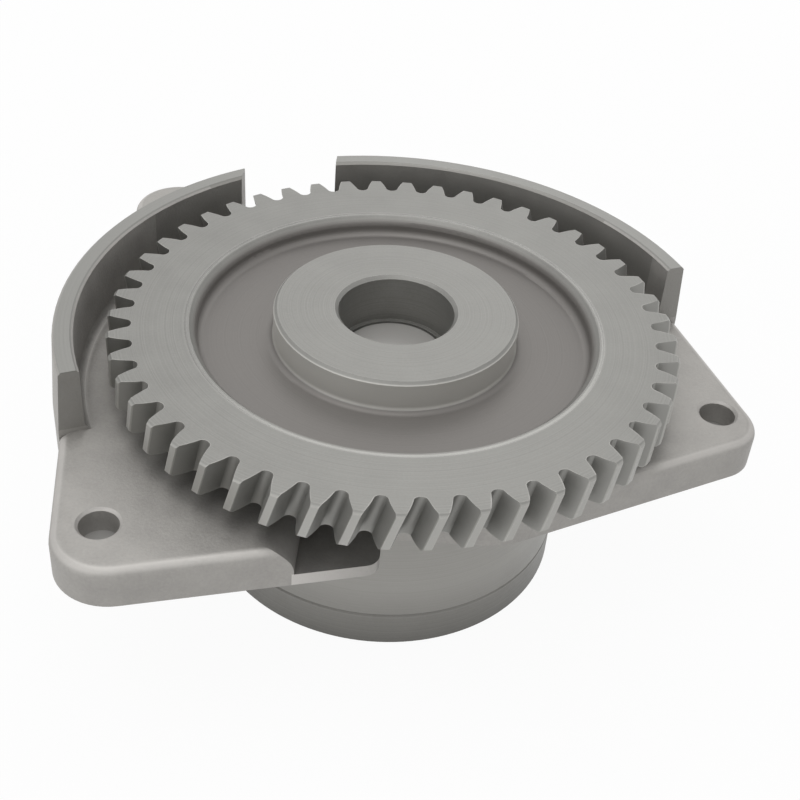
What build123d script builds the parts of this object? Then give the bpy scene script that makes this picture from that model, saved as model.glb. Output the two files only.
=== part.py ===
from build123d import *
import os
from math import acos, atan, ceil, cos, degrees, hypot, pi, radians, sin, sqrt, tan

# Engine oil pump: a gerotor pump in a cast housing, driven by a large helical
# gear that runs inside an open guard wall.
# Frame, in millimetres: the pump axis is Z, the mounting face is the plane
# Z = 0, the drive gear lies above it (+Z) and the pump chamber below it (-Z).

# ---- Drive gear
TEETH = 49
NORMAL_MODULE = 2.5
PRESSURE_ANGLE = 20.0
HELIX_ANGLE = 15.5            # right hand
ADDENDUM_FACTOR = 1.04
DEDENDUM_FACTOR = 1.22
FLANK_THINNING = 0.25         # taken off each tooth's thickness for backlash
GEAR_FACE = 10.0
TOOTH_END_CHAMFER = 0.7
FIRST_GAP_ANGLE = -1.3        # a tooth gap on the upper face points here
RIM_INNER_R = 46.0
WEB_RECESS = 4.8              # depth of the upper recess between rim and hub
WEB_UNDERCUT = 1.5            # depth of the lower recess
HUB_R = 28.4
HUB_RISE = 3.3                # hub above the toothed rim
HUB_SKIRT_R = 22.0
HUB_BORE_R = 13.5             # open socket above the shaft's end
GEAR_FILLET = 1.6
GEAR_CHAMFER = 0.8

# ---- Housing
FLANGE_THICKNESS = 10.0
FLANGE_ROUNDING = 2.4
FLANGE_UNDER_CHAMFER = 0.3
GEAR_TO_FLANGE = 5.0
HOUSING_RECESS_DEPTH = 8.0    # pocket in the flange for the gear's hub skirt
HUB_SKIRT_CLEARANCE = 2.5
GUARD_CLEARANCE = 7.0         # from the tooth tips to the guard wall
GUARD_THICKNESS = 4.6
GUARD_DRAFT = 1.2             # the wall is this much thicker at its foot
GUARD_OVER_RIM = 1.5
GUARD_START = 24.5            # the guard runs from here...
GUARD_END = 205.0             # ...to here, anticlockwise
GUARD_ROOT_FILLET = 2.0
GUARD_TOP_BEVEL = 0.7
GUARD_FOOT_WIDTH = 6.0
PLATE_OVERLAP = 15.0          # the ears' plate reaches this far under the guard's disc
GUARD_GAP_CENTRE_X = -32.5
GUARD_GAP_WIDTH = 24.0
CUP_WALL = 13.1               # from the rotor chamber to the cup's outside
CUP_FILLET = 3.0
FLANGE_LIP = 3.4              # the flange passes the cup by this much in front

# ---- Mounting ears
BOLT_HOLE_R = 4.25
BOLT_HOLE_CHAMFER = 0.6
LEFT_HOLE_FROM_TEETH = 16.2   # each hole's distance outside the gear's tooth tips
LEFT_HOLE_ANGLE = 226.6
LEFT_EAR_SIDE = (191.6, 10.4)  # direction of an edge's normal, distance from the hole
LEFT_EAR_FRONT = (-73.7, 14.5)
LEFT_EAR_ROUNDING = 12.5
RIGHT_HOLE_FROM_TEETH = 11.7
RIGHT_HOLE_ANGLE = -3.7
RIGHT_EAR_SIDE = (21.4, 7.8)
RIGHT_EAR_FRONT = (-60.7, 11.7)
RIGHT_EAR_ROUNDING = 10.0
BACK_HOLE_FROM_TEETH = 27.5
BACK_HOLE_ANGLE = 132.8
BACK_EAR_R = 12.0
BACK_EAR_NECK_R = 17.0
BACK_EAR_NECK_AT = 0.72       # the neck's centre, as a part of the hole's distance

# ---- Front drain channel, open over a thin lip of the flange
LIP_THICKNESS = 3.3
LIP_RIGHT = 1.2               # the lip ends here
LIP_CORNER_R = 3.5
CHANNEL_LEFT = -16.0
CHANNEL_RIGHT = 1.8
CHANNEL_SWEEP_R = 6.5         # the flange's top sweeps down to the lip with this radius

# ---- Shaft and its bearings
SHAFT_SEAT_R = 12.5           # press fit in the gear, below the socket
SEAT_LENGTH = 12.0            # length of the gear's press fit on the shaft
THRUST_WASHER_THICKNESS = 1.8
THRUST_CLEARANCE = 0.15
THRUST_WASHER_R = 20.0
WASHER_HOLE_CLEARANCE = 0.4
JOURNAL_STEP = 0.1            # the journal is this much smaller than the seat
BUSH_CLEARANCE = 0.06
BUSH_WALL = 2.5
BUSH_INSET = 0.3
ROTOR_SEAT_R = 11.0
LOWER_JOURNAL_R = 9.0
LOWER_BUSH_WALL = 2.0
LOWER_BUSH_LENGTH = 6.5
SHAFT_CHAMFER = 0.8

# ---- Rotor set
INNER_LOBES = 6
ECCENTRICITY = 2.8
ECCENTRIC_ANGLE = -90.0
ROTOR_ROOT_WALL = 5.6         # from the shaft's seat to the inner rotor's roots
OUTER_TOOTH_R = 9.1
ROTOR_CLEARANCE = 0.08
ROOT_CLEARANCE = 0.2
OUTER_ROTOR_RIM = 5.2         # outside the outer rotor's roots
OUTER_ROTOR_CLEARANCE = 0.1
ROTOR_WIDTH = 14.88
SIDE_CLEARANCE = 0.06
CHAMBER_CEILING = 13.0        # depth of the chamber's ceiling below the mounting face
KEY_WIDTH = 5.0
KEY_HEIGHT = 5.0
KEY_LENGTH = 9.5
KEY_SEAT_DEPTH = 3.0
KEY_TOP_CLEARANCE = 0.2
RING_THICKNESS = 1.2
RING_R = 13.2
RING_GROOVE_DEPTH = 0.8
RING_CLEARANCE = 0.1
RING_MOUTH_ANGLE = 40.0

# ---- Ports
PORT_RING_MARGIN = 0.3        # inside the rotors' roots
PORT_RING_DEPTH = 5.0
INLET_SPAN = 124.0
OUTLET_SPAN = 112.0
CEILING_RECESS = 4.0
INLET_R = 8.5
OUTLET_R = 7.0
PORT_SHIFT = 4.0              # the round ports lie this far outside the kidneys' middle
SEAL_SECTION_R = 1.0
SEAL_GAP = 1.2                # from a port's edge to its seal groove
SEAL_PROUD = 0.3

# ---- End cover and its fasteners
COVER_THICKNESS = 10.0
COVER_CHAMFER = 1.0
COVER_SEAM_CHAMFER = 0.4
SCREW_R = 2.5
SCREW_EDGE = 6.8              # from the cup's outside to a screw's axis
SCREW_ANGLES = (57.0, 123.0, 218.0, -38.0)
SCREW_HEAD_R = 4.25
SCREW_HEAD_HEIGHT = 5.0
SCREW_SOCKET_R = 2.3
SCREW_SOCKET_DEPTH = 2.6
SCREW_REACH = 10.0
SCREW_CLEARANCE = 0.3
DOWEL_R = 2.5
DOWEL_EDGE = 5.3
DOWEL_ANGLES = (248.0, -68.0)
DOWEL_REACH = 5.0
RING_DOWEL_R = 6.0
RING_DOWEL_WALL = 1.4
RING_DOWEL_REACH = 4.0

# ---- Relief valve
VALVE_EDGE = 7.8
VALVE_ANGLE = 90.0
VALVE_BORE_R = 4.75
VALVE_CLEARANCE = 0.05
VALVE_SEAT_R = 3.5
VALVE_SEAT_DEPTH = 10.0       # the piston's stop below the mounting face
VALVE_HEAD_SPACE = 5.0
PISTON_LENGTH = 10.0
PISTON_HEAD = 3.0
PISTON_WALL = 1.2
PISTON_GROOVE_AT = 2.2
PISTON_GROOVE_WIDTH = 0.8
PISTON_GROOVE_DEPTH = 0.4
PISTON_TRAVEL = 9.0
SPILL_R = 2.0
SPILL_DEPTH = 18.0
GALLERY_R = 2.0
GALLERY_DEPTH = 8.0
GALLERY_PLUG_LENGTH = 4.0
PLUG_R = 5.0
PLUG_LENGTH = 6.0
PLUG_SOCKET_R = 2.6
PLUG_SOCKET_DEPTH = 3.5
SHIM_THICKNESS = 0.5
SPRING_R = 2.75               # mean radius of the coils
SPRING_WIRE_R = 0.45
SPRING_TURNS = 7.0

# ---- Levels and radii that follow from the sizes above
FLANGE_TOP = FLANGE_THICKNESS
GEAR_BOTTOM = FLANGE_TOP + GEAR_TO_FLANGE
GEAR_TOP = GEAR_BOTTOM + GEAR_FACE
HUB_TOP = GEAR_TOP + HUB_RISE
GUARD_TOP = GEAR_TOP + GUARD_OVER_RIM
RECESS_FLOOR = FLANGE_TOP - HOUSING_RECESS_DEPTH
HUB_BOTTOM = RECESS_FLOOR + THRUST_WASHER_THICKNESS + THRUST_CLEARANCE
SHAFT_TOP = HUB_BOTTOM + SEAT_LENGTH
JOURNAL_R = SHAFT_SEAT_R - JOURNAL_STEP
UPPER_BUSH_R = JOURNAL_R + BUSH_CLEARANCE + BUSH_WALL
LOWER_BUSH_R = LOWER_JOURNAL_R + BUSH_CLEARANCE + LOWER_BUSH_WALL
CHAMBER_TOP = -CHAMBER_CEILING
COVER_TOP = CHAMBER_TOP - ROTOR_WIDTH - 2 * SIDE_CLEARANCE
COVER_BOTTOM = COVER_TOP - COVER_THICKNESS
ROTOR_TOP = CHAMBER_TOP - SIDE_CLEARANCE
ROTOR_BOTTOM = ROTOR_TOP - ROTOR_WIDTH
OUTER_TEETH = INNER_LOBES + 1
INNER_ROOT_R = ROTOR_SEAT_R + ROTOR_ROOT_WALL
INNER_TIP_R = INNER_ROOT_R + 2 * ECCENTRICITY
OUTER_TOOTH_PCR = INNER_TIP_R + OUTER_TOOTH_R - ECCENTRICITY   # through the outer teeth's centres
OUTER_ROOT_R = INNER_TIP_R + ECCENTRICITY + ROOT_CLEARANCE
OUTER_ROTOR_R = OUTER_ROOT_R + OUTER_ROTOR_RIM
CHAMBER_R = OUTER_ROTOR_R + OUTER_ROTOR_CLEARANCE
CUP_R = CHAMBER_R + CUP_WALL
PORT_RING_R = (INNER_ROOT_R + OUTER_ROOT_R) / 2
PORT_RING_WIDTH = OUTER_ROOT_R - INNER_ROOT_R - 2 * PORT_RING_MARGIN
PORT_OFFSET = PORT_RING_R + PORT_SHIFT
SCREW_PCR = CUP_R - SCREW_EDGE
DOWEL_PCR = CUP_R - DOWEL_EDGE
VALVE_PCR = CUP_R - VALVE_EDGE
RING_TOP = ROTOR_BOTTOM + 2 * RING_THICKNESS
LOWER_BUSH_BOTTOM = COVER_TOP - BUSH_INSET - LOWER_BUSH_LENGTH
SHAFT_BOTTOM = LOWER_BUSH_BOTTOM - BUSH_INSET
PISTON_TOP = -VALVE_SEAT_DEPTH
PISTON_R = VALVE_BORE_R - VALVE_CLEARANCE
PLUG_TOP = COVER_BOTTOM + PLUG_LENGTH
SHIM_TOP = PLUG_TOP + SHIM_THICKNESS

transverse_angle = atan(tan(radians(PRESSURE_ANGLE)) / cos(radians(HELIX_ANGLE)))
PITCH_R = TEETH * NORMAL_MODULE / (2 * cos(radians(HELIX_ANGLE)))
BASE_R = PITCH_R * cos(transverse_angle)
TIP_R = PITCH_R + ADDENDUM_FACTOR * NORMAL_MODULE
ROOT_R = PITCH_R - DEDENDUM_FACTOR * NORMAL_MODULE
FACE_TWIST = degrees(GEAR_FACE * tan(radians(HELIX_ANGLE)) / PITCH_R)
GUARD_INNER_R = TIP_R + GUARD_CLEARANCE
GUARD_OUTER_R = GUARD_INNER_R + GUARD_THICKNESS
FLANGE_R = GUARD_OUTER_R + GUARD_DRAFT


def polar(radius, angle, z=0.0):
    """A point at a radius and an angle in degrees."""
    return Vector(radius * cos(radians(angle)), radius * sin(radians(angle)), z)


def disc(radius, bottom, top, at=Vector(0, 0, 0)):
    """A cylinder between two levels."""
    body = Cylinder(radius, top - bottom, align=(Align.CENTER, Align.CENTER, Align.MIN))
    return Pos(at.X, at.Y, bottom) * body


def block(x0, x1, y0, y1, z0, z1):
    """A box between its corners."""
    return Pos((x0 + x1) / 2, (y0 + y1) / 2, (z0 + z1) / 2) * Box(x1 - x0, y1 - y0, z1 - z0)


def turned(*points, radius=0.0, arc=360.0):
    """A solid turned about Z from (radius, height) points with rounded corners."""
    corners = [(r, 0, z) for r, z in points]
    radii = radius if isinstance(radius, (list, tuple)) else [radius] * len(corners)
    outline = FilletPolyline(*corners, radius=radii, close=True)
    return revolve(make_face(outline), Axis.Z, arc)


def tube(inner, outer, bottom, top, at=Vector(0, 0, 0)):
    """A plain ring between two levels."""
    return disc(outer, bottom, top, at) - disc(inner, bottom, top, at)


def bush(inner, outer, bottom, top, lead=0.4):
    """A bearing bush with chamfered ends."""
    return turned(
        (inner + lead, bottom), (outer - lead, bottom), (outer, bottom + lead),
        (outer, top - lead), (outer - lead, top), (inner + lead, top),
        (inner, top - lead), (inner, bottom + lead))


LEFT_HOLE = polar(TIP_R + LEFT_HOLE_FROM_TEETH, LEFT_HOLE_ANGLE)
RIGHT_HOLE = polar(TIP_R + RIGHT_HOLE_FROM_TEETH, RIGHT_HOLE_ANGLE)
BACK_HOLE = polar(TIP_R + BACK_HOLE_FROM_TEETH, BACK_HOLE_ANGLE)
EYE = polar(ECCENTRICITY, ECCENTRIC_ANGLE)
INLET_ANGLE = ECCENTRIC_ANGLE - 90
OUTLET_ANGLE = ECCENTRIC_ANGLE + 90
VALVE = polar(VALVE_PCR, VALVE_ANGLE)


# ---- Drive gear: helical teeth on a rim, a recessed web and a hub
def flank_angle(radius):
    """Half of a tooth's angle at a radius, from its involute, in radians."""
    pressure = acos(min(1.0, BASE_R / radius))
    half_at_pitch = pi / (2 * TEETH) - FLANK_THINNING / (2 * PITCH_R)
    return (half_at_pitch + (tan(transverse_angle) - transverse_angle)
            - (tan(pressure) - pressure))


def tooth_profile(first_gap, z):
    """The outline of the toothed rim: tip lands, involute flanks and round roots."""
    flank_foot_r = max(BASE_R, ROOT_R + 0.28 * NORMAL_MODULE)
    flank_mid_r = (flank_foot_r + TIP_R) / 2
    pitch = 360.0 / TEETH
    edges = []
    for index in range(TEETH):
        middle = first_gap + (index + 0.5) * pitch
        next_gap = middle + 0.5 * pitch
        tip, mid, foot = (degrees(flank_angle(r)) for r in (TIP_R, flank_mid_r, flank_foot_r))
        left_foot = polar(flank_foot_r, middle - foot, z)
        left_tip = polar(TIP_R, middle - tip, z)
        right_tip = polar(TIP_R, middle + tip, z)
        right_foot = polar(flank_foot_r, middle + foot, z)
        next_foot = polar(flank_foot_r, middle + pitch - foot, z)
        edges.append(ThreePointArc(left_foot, polar(flank_mid_r, middle - mid, z), left_tip))
        edges.append(ThreePointArc(left_tip, polar(TIP_R, middle, z), right_tip))
        edges.append(ThreePointArc(right_tip, polar(flank_mid_r, middle + mid, z), right_foot))
        edges.append(ThreePointArc(right_foot, polar(ROOT_R, next_gap, z), next_foot))
    return Wire(edges)


def make_drive_gear():
    lower = tooth_profile(FIRST_GAP_ANGLE - FACE_TWIST, GEAR_BOTTOM)
    upper = tooth_profile(FIRST_GAP_ANGLE, GEAR_TOP)
    rim = Part() + Solid.make_loft([lower, upper], ruled=True)
    # the cone pair that breaks the sharp ends of the teeth
    envelope = turned(
        (0, GEAR_BOTTOM), (TIP_R - TOOTH_END_CHAMFER, GEAR_BOTTOM),
        (TIP_R + 0.01, GEAR_BOTTOM + TOOTH_END_CHAMFER), (TIP_R + 0.01, GEAR_TOP - TOOTH_END_CHAMFER),
        (TIP_R - TOOTH_END_CHAMFER, GEAR_TOP), (0, GEAR_TOP))
    rim = rim & envelope
    web_top = GEAR_TOP - WEB_RECESS
    web_bottom = GEAR_BOTTOM + WEB_UNDERCUT
    upper_recess = turned(
        (HUB_R, web_top), (RIM_INNER_R, web_top), (RIM_INNER_R, GEAR_TOP - GEAR_FILLET),
        (RIM_INNER_R + GEAR_FILLET, GEAR_TOP + 0.01), (HUB_R, GEAR_TOP + 0.01),
        radius=[GEAR_FILLET, GEAR_FILLET, GEAR_FILLET, 0, 0])
    lower_recess = turned(
        (HUB_SKIRT_R, GEAR_BOTTOM - 1), (RIM_INNER_R, GEAR_BOTTOM - 1),
        (RIM_INNER_R, web_bottom), (HUB_SKIRT_R, web_bottom),
        radius=[0, 0, GEAR_FILLET / 2, GEAR_FILLET / 2])
    hub = turned(
        (0, web_bottom), (HUB_R, web_bottom), (HUB_R, HUB_TOP - GEAR_CHAMFER),
        (HUB_R - GEAR_CHAMFER, HUB_TOP), (0, HUB_TOP))
    skirt = turned(
        (0, HUB_BOTTOM), (HUB_SKIRT_R - GEAR_CHAMFER, HUB_BOTTOM),
        (HUB_SKIRT_R, HUB_BOTTOM + GEAR_CHAMFER), (HUB_SKIRT_R, web_bottom + 1), (0, web_bottom + 1))
    bore = turned(
        (0, HUB_BOTTOM - 1), (SHAFT_SEAT_R, HUB_BOTTOM - 1), (SHAFT_SEAT_R, SHAFT_TOP),
        (HUB_BORE_R, SHAFT_TOP), (HUB_BORE_R, HUB_TOP - GEAR_CHAMFER),
        (HUB_BORE_R + 2 * GEAR_CHAMFER, HUB_TOP + GEAR_CHAMFER), (0, HUB_TOP + GEAR_CHAMFER))
    return rim - upper_recess - lower_recess + hub + skirt - bore


# ---- Shaft, key and retaining ring
def make_drive_shaft():
    seat_end = CHAMBER_TOP
    shaft = turned(
        (0, SHAFT_BOTTOM), (LOWER_JOURNAL_R - SHAFT_CHAMFER, SHAFT_BOTTOM),
        (LOWER_JOURNAL_R, SHAFT_BOTTOM + SHAFT_CHAMFER), (LOWER_JOURNAL_R, ROTOR_BOTTOM),
        (ROTOR_SEAT_R, ROTOR_BOTTOM), (ROTOR_SEAT_R, seat_end), (JOURNAL_R, seat_end),
        (JOURNAL_R, HUB_BOTTOM), (SHAFT_SEAT_R, HUB_BOTTOM), (SHAFT_SEAT_R, SHAFT_TOP - SHAFT_CHAMFER),
        (SHAFT_SEAT_R - SHAFT_CHAMFER, SHAFT_TOP), (0, SHAFT_TOP))
    groove = tube(ROTOR_SEAT_R - RING_GROOVE_DEPTH, ROTOR_SEAT_R + 1,
                  RING_TOP - RING_THICKNESS - RING_CLEARANCE, RING_TOP)
    return shaft - groove - key_space(0.0)


def key_levels():
    top = ROTOR_TOP - 1.0
    return top - KEY_LENGTH, top


def key_space(clearance):
    """The key's block, with round ends and some clearance on its top."""
    bottom, top = key_levels()
    floor = ROTOR_SEAT_R - KEY_SEAT_DEPTH
    return block(floor, floor + KEY_HEIGHT + clearance, -KEY_WIDTH / 2, KEY_WIDTH / 2, bottom, top)


def make_rotor_key():
    key = key_space(0.0)
    return chamfer(key.edges().filter_by(Axis.X), 0.4)


def make_rotor_ring():
    """The retaining ring, open over its mouth."""
    top = RING_TOP - RING_CLEARANCE / 2
    ring = tube(ROTOR_SEAT_R - RING_GROOVE_DEPTH, RING_R, top - RING_THICKNESS, top)
    half_mouth = RING_R * tan(radians(RING_MOUTH_ANGLE / 2))
    mouth = Polyline((0, 0, 0), (-2 * RING_R, -2 * half_mouth, 0), (-2 * RING_R, 2 * half_mouth, 0),
                     close=True)
    return ring - Pos(0, 0, top - RING_THICKNESS - 1) * extrude(make_face(mouth), RING_THICKNESS + 2)


# ---- Rotor set: an inner rotor of N lobes in an outer rotor of N + 1 teeth
def lobe_point(t):
    """A point of the inner rotor, conjugate to the outer rotor's round teeth."""
    big, small = OUTER_TOOTH_PCR, ECCENTRICITY
    many = INNER_LOBES + 1
    nx = big * cos(t) + small * many * cos(many * t)
    ny = big * sin(t) + small * many * sin(many * t)
    offset = (OUTER_TOOTH_R + ROTOR_CLEARANCE) / hypot(nx, ny)
    return (big * cos(t) + small * cos(many * t) - nx * offset,
            big * sin(t) + small * sin(many * t) - ny * offset)


def lobe_points(start, end, count):
    """Evenly spaced points along one lobe of the inner rotor."""
    fine = 40 * count
    path = [lobe_point(start + (end - start) * k / fine) for k in range(fine + 1)]
    run = [0.0]
    for (x0, y0), (x1, y1) in zip(path, path[1:]):
        run.append(run[-1] + hypot(x1 - x0, y1 - y0))
    points, step = [], 0
    for k in range(count + 1):
        while step < fine and run[step] < run[-1] * k / count - 1e-9:
            step += 1
        points.append(path[step])
    return points


def make_inner_rotor():
    pitch = 2 * pi / INNER_LOBES
    lobes = [Spline(*lobe_points((k - 0.5) * pitch, (k + 0.5) * pitch, 26)) for k in range(INNER_LOBES)]
    rotor = extrude(make_face(Wire([lobe.edge() for lobe in lobes])), ROTOR_WIDTH)
    rotor = Pos(0, 0, ROTOR_BOTTOM) * Rot(0, 0, ECCENTRIC_ANGLE) * rotor
    bore = disc(ROTOR_SEAT_R, ROTOR_BOTTOM - 1, ROTOR_TOP + 1)
    ring_seat = disc(RING_R + RING_GROOVE_DEPTH, ROTOR_BOTTOM - 1, RING_TOP)
    key_bottom, key_top = key_levels()
    floor = ROTOR_SEAT_R - KEY_SEAT_DEPTH
    keyway = block(0, floor + KEY_HEIGHT + KEY_TOP_CLEARANCE, -KEY_WIDTH / 2, KEY_WIDTH / 2,
                   key_bottom, ROTOR_TOP + 1)
    return rotor - bore - ring_seat - keyway


def make_outer_rotor():
    big, tooth = OUTER_TOOTH_PCR, OUTER_TOOTH_R
    pitch = 360.0 / OUTER_TEETH
    shoulder = degrees(acos((OUTER_ROOT_R ** 2 + big ** 2 - tooth ** 2) / (2 * OUTER_ROOT_R * big)))
    edges = []
    for index in range(OUTER_TEETH):
        middle = index * pitch
        start = polar(OUTER_ROOT_R, middle - shoulder)
        end = polar(OUTER_ROOT_R, middle + shoulder)
        following = polar(OUTER_ROOT_R, middle + pitch - shoulder)
        edges.append(ThreePointArc(start, polar(big - tooth, middle), end))
        edges.append(ThreePointArc(end, polar(OUTER_ROOT_R, middle + pitch / 2), following))
    cavity = extrude(make_face(Wire(edges)), ROTOR_WIDTH)
    cavity = Pos(EYE.X, EYE.Y, ROTOR_BOTTOM) * Rot(0, 0, ECCENTRIC_ANGLE) * cavity
    rotor = disc(OUTER_ROTOR_R, ROTOR_BOTTOM, ROTOR_TOP, EYE)
    rotor = chamfer(rotor.edges().filter_by(GeomType.CIRCLE), 0.4)
    return rotor - cavity


def port_ring(angle, span, bottom, top):
    """A kidney-shaped space over the rotor set's working chambers."""
    middle = EYE * 0.5
    line = CenterArc((middle.X, middle.Y), PORT_RING_R, angle - span / 2, span)
    return Pos(0, 0, bottom) * extrude(SlotArc(line.edge(), PORT_RING_WIDTH), top - bottom)


# ---- Housing: cup, flange with three ears, guard wall and front drain channel
def edge_corner(hole, side, front):
    """The corner where two straight edges meet, each given from the bolt hole."""
    (a1, d1), (a2, d2) = side, front
    n1, n2 = polar(1, a1), polar(1, a2)
    c1 = n1.dot(hole) + d1
    c2 = n2.dot(hole) + d2
    turn = n1.X * n2.Y - n1.Y * n2.X
    return Vector((c1 * n2.Y - c2 * n1.Y) / turn, (n1.X * c2 - n2.X * c1) / turn)


def flange_plate():
    """The flange: a disc under the guard, the two front ears and the back ear."""
    left = edge_corner(LEFT_HOLE, LEFT_EAR_SIDE, LEFT_EAR_FRONT)
    right = edge_corner(RIGHT_HOLE, RIGHT_EAR_SIDE, RIGHT_EAR_FRONT)
    right_normal = polar(1, RIGHT_EAR_FRONT[0])
    left_normal = polar(1, LEFT_EAR_FRONT[0])
    lip_y = (left_normal.dot(left) - left_normal.X * LIP_RIGHT) / left_normal.Y
    front_y = -(CUP_R + FLANGE_LIP)
    foot = Vector((right_normal.dot(right) - right_normal.Y * front_y) / right_normal.X, front_y)
    start, end = polar(FLANGE_R, GUARD_START), polar(FLANGE_R, GUARD_END)
    inside = FLANGE_R - PLATE_OVERLAP
    corners = [
        (start, 0), (polar(inside, GUARD_START + 12), 0), (polar(inside, GUARD_END - 12), 0),
        (end, 0), (left, LEFT_EAR_ROUNDING),
        (Vector(LIP_RIGHT, lip_y), LIP_CORNER_R), (Vector(LIP_RIGHT, front_y), LIP_CORNER_R),
        (foot, 2 * RIGHT_EAR_ROUNDING), (right, RIGHT_EAR_ROUNDING)]
    front = make_face(FilletPolyline(
        *[point for point, _ in corners], radius=[radius for _, radius in corners], close=True))
    back = Circle(FLANGE_R) - Polygon(
        end, (end.X, -2 * FLANGE_R), (2 * FLANGE_R, -2 * FLANGE_R), (2 * FLANGE_R, start.Y), start,
        align=None)
    neck = BACK_HOLE * BACK_EAR_NECK_AT
    back_ear = make_face(make_hull(
        [(Pos(BACK_HOLE.X, BACK_HOLE.Y) * Circle(BACK_EAR_R)).edge(),
         (Pos(neck.X, neck.Y) * Circle(BACK_EAR_NECK_R)).edge()]))
    return rounded_plate(front) + rounded_plate(back_ear) + extrude(back, FLANGE_THICKNESS)


def rounded_plate(outline):
    """A plate with its upper rim rounded and its lower rim chamfered."""
    plate = extrude(outline, FLANGE_THICKNESS)
    plate = fillet(plate.edges().group_by(Axis.Z)[-1], FLANGE_ROUNDING)
    return chamfer(plate.edges().group_by(Axis.Z)[0], FLANGE_UNDER_CHAMFER)


def guard_wall():
    inner, outer, foot = GUARD_INNER_R, GUARD_OUTER_R, FLANGE_R
    low, bevel = FLANGE_UNDER_CHAMFER, GUARD_TOP_BEVEL
    profile = make_face(FilletPolyline(
        (inner - GUARD_ROOT_FILLET, 0, FLANGE_TOP - 1), (foot - GUARD_FOOT_WIDTH, 0, low), (foot, 0, low),
        (foot, 0, FLANGE_TOP), (outer, 0, GUARD_TOP - bevel), (outer - bevel, 0, GUARD_TOP),
        (inner + bevel, 0, GUARD_TOP), (inner, 0, GUARD_TOP - bevel),
        (inner, 0, FLANGE_TOP), (inner - GUARD_ROOT_FILLET, 0, FLANGE_TOP),
        radius=[0, 0, 0, 0, 0, 0, 0, 0, GUARD_ROOT_FILLET, 0], close=True))
    wall = revolve(profile, Axis.Z, GUARD_END - GUARD_START)
    wall = Rot(0, 0, GUARD_START) * wall
    gap = block(GUARD_GAP_CENTRE_X - GUARD_GAP_WIDTH / 2, GUARD_GAP_CENTRE_X + GUARD_GAP_WIDTH / 2,
                0, 2 * FLANGE_R, FLANGE_TOP, GUARD_TOP + 1)
    return wall - gap


def cup():
    return turned(
        (0, COVER_TOP), (CUP_R - COVER_SEAM_CHAMFER, COVER_TOP), (CUP_R, COVER_TOP + COVER_SEAM_CHAMFER),
        (CUP_R, 0), (CUP_R + CUP_FILLET + 1, 0), (CUP_R + CUP_FILLET + 1, FLANGE_TOP - 1), (0, FLANGE_TOP - 1),
        radius=[0, 0, 0, CUP_FILLET, 0, 0, 0])


def drain_channel():
    """The space over the lip: it sweeps down from the flange's top and leads inwards."""
    above = FLANGE_TOP + 1
    sweep_start = CHANNEL_LEFT - CHANNEL_SWEEP_R
    profile = FilletPolyline(
        (sweep_start, 0, above), (sweep_start, 0, FLANGE_TOP), (CHANNEL_LEFT, 0, FLANGE_TOP),
        (CHANNEL_LEFT, 0, LIP_THICKNESS), (CHANNEL_RIGHT, 0, LIP_THICKNESS), (CHANNEL_RIGHT, 0, above),
        radius=[0, 0, CHANNEL_SWEEP_R - 0.01, 0, 1.0, 0], close=True)
    return extrude(make_face(profile), 2 * CUP_R, dir=(0, -1, 0))


def gallery_line():
    """Start and direction of the drilling that feeds the relief valve."""
    end_angle = OUTLET_ANGLE + OUTLET_SPAN / 2
    target = EYE * 0.5 + polar(PORT_RING_R, end_angle)
    inward = (target - VALVE).normalized()
    reach = sqrt(max(0.0, CUP_R ** 2 - VALVE.cross(inward).length ** 2)) + VALVE.dot(inward)
    mouth = VALVE - inward * reach
    return mouth, inward, (target - mouth).length


def drilling(start, inward, length, radius, z):
    plane = Plane(origin=(start.X, start.Y, z), z_dir=(inward.X, inward.Y, 0))
    return plane * Cylinder(radius, length, align=(Align.CENTER, Align.CENTER, Align.MIN))


def make_housing():
    casting = flange_plate() + guard_wall() + cup()
    casting -= drain_channel()
    hub_pocket_r = HUB_SKIRT_R + HUB_SKIRT_CLEARANCE
    casting -= disc(hub_pocket_r, RECESS_FLOOR, FLANGE_TOP + 1)
    casting -= disc(UPPER_BUSH_R, CHAMBER_TOP - 1, RECESS_FLOOR + 1)
    casting -= disc(CHAMBER_R, COVER_TOP - 1, CHAMBER_TOP, EYE)
    casting -= port_ring(INLET_ANGLE, INLET_SPAN, CHAMBER_TOP - 1, CHAMBER_TOP + CEILING_RECESS)
    casting -= port_ring(OUTLET_ANGLE, OUTLET_SPAN, CHAMBER_TOP - 1, CHAMBER_TOP + CEILING_RECESS)
    casting -= disc(VALVE_BORE_R, COVER_TOP - 1, PISTON_TOP, VALVE)
    casting -= disc(VALVE_SEAT_R, PISTON_TOP - 1, PISTON_TOP + VALVE_HEAD_SPACE, VALVE)
    casting -= drilling(VALVE, polar(1, VALVE_ANGLE), CUP_R, SPILL_R, -SPILL_DEPTH)
    mouth, inward, length = gallery_line()
    casting -= drilling(mouth - inward, inward, length + 1, GALLERY_R, -GALLERY_DEPTH)
    for hole in (LEFT_HOLE, RIGHT_HOLE, BACK_HOLE):
        casting -= disc(BOLT_HOLE_R, -1, FLANGE_TOP + 1, hole)
        lead = Cone(BOLT_HOLE_R, BOLT_HOLE_R + 2 * BOLT_HOLE_CHAMFER, 2 * BOLT_HOLE_CHAMFER)
        casting -= Pos(hole.X, hole.Y, FLANGE_TOP) * lead
    for hole in (LEFT_HOLE, RIGHT_HOLE):
        casting -= disc(RING_DOWEL_R, -1, RING_DOWEL_REACH, hole)
    for angle in SCREW_ANGLES:
        casting -= disc(SCREW_R, COVER_TOP - 1, COVER_TOP + SCREW_REACH + 1, polar(SCREW_PCR, angle))
    for angle in DOWEL_ANGLES:
        casting -= disc(DOWEL_R, COVER_TOP - 1, COVER_TOP + DOWEL_REACH, polar(DOWEL_PCR, angle))
    return casting


# ---- End cover with the ports, its seals, screws and dowels
def seal_ring_r(port_r):
    return port_r + SEAL_GAP + SEAL_SECTION_R


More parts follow.
